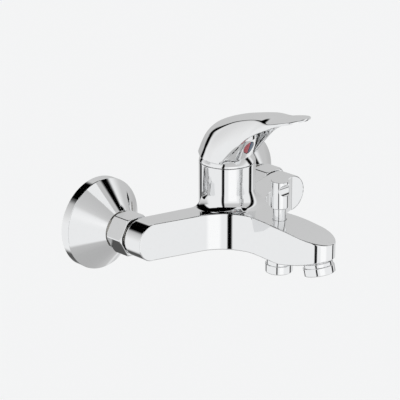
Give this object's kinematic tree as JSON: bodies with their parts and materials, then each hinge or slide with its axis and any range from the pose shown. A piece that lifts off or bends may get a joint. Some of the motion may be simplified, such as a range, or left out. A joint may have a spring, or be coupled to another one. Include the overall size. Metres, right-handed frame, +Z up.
{
  "type": "wall mounted bath and shower mixer",
  "caption": "Single-lever wall mounted bath and shower mixer with a sloping spout, a pull-up diverter, a shower outlet below and two cone escutcheons.",
  "frame": {"origin": "on the finished wall's face, midway between the two inlet axes and at their height", "axes": "+X along the wall, to the right of a person who faces it; +Y into the wall, so the spout points along -Y; +Z up"},
  "size_m": [0.2216, 0.1936, 0.1348],
  "materials": {
    "chrome": "bright polished chrome plate",
    "nickel_plate": "dull nickel plate on brass",
    "brass": "machined brass",
    "steel": "stainless steel",
    "ceramic": "ground alumina ceramic",
    "plastic": "moulded grey plastic",
    "rubber": "black sealing rubber",
    "hot_red": "glossy red plastic",
    "cold_blue": "glossy blue plastic"
  },
  "bodies": {
    "faucet_body": {"escutcheon_left": "chrome", "s_union_left": "nickel_plate", "union_nut_left": "chrome", "inlet_washer_left": "rubber", "inlet_nipple_left": "nickel_plate", "escutcheon_right": "chrome", "s_union_right": "nickel_plate", "union_nut_right": "chrome", "inlet_washer_right": "rubber", "inlet_nipple_right": "nickel_plate", "body": "chrome", "cartridge_seal": "rubber", "cartridge_base": "plastic", "cartridge_shell": "plastic", "fixed_disc": "ceramic", "retaining_nut": "brass", "dome_cap": "chrome", "diverter_bush": "chrome", "diverter_o_ring": "rubber", "diverter_spring": "steel", "shower_nipple": "chrome", "shower_check_valve": "plastic", "aerator_shell": "chrome", "aerator_insert": "plastic", "aerator_screen": "steel", "aerator_washer": "rubber"},
    "lever_swivel": {"spindle_collar": "plastic", "spindle_pin": "steel"},
    "lever_arm": {"lever": "chrome", "lever_screw": "steel", "index_button_hot": "hot_red", "index_button_cold": "cold_blue", "spindle": "brass"},
    "mixing_disc": {"moving_disc": "ceramic", "disc_carrier": "plastic"},
    "diverter_pull": {"diverter_knob": "chrome", "diverter_rod": "steel", "diverter_plate": "brass", "diverter_washer_lower": "rubber", "diverter_washer_upper": "rubber"}
  },
  "joints": [
    {"name": "lever_turn", "type": "hinge", "parent": "faucet_body", "child": "lever_swivel", "pos_m": [0, -0.0657, 0.038], "axis": [0, 0, 1], "range_deg": [-50, 50]},
    {"name": "lever_lift", "type": "hinge", "parent": "lever_swivel", "child": "lever_arm", "pos_m": [0, -0.0657, 0.038], "axis": [-1, 0, 0], "range_deg": [0, 22]},
    {"name": "disc_shift", "type": "slide", "parent": "lever_swivel", "child": "mixing_disc", "axis": [0, -1, 0], "range_m": [0, 0.00525]},
    {"name": "diverter_slide", "type": "slide", "parent": "faucet_body", "child": "diverter_pull", "axis": [0, 0, 1], "range_m": [0, 0.0075], "stiffness_N_per_m": 40, "springref_m": -0.01, "deforming": ["diverter_spring"]}
  ],
  "couplings": [
    {"joint": "disc_shift", "follows": "lever_lift", "m_per_rad": 0.01366}
  ]
}
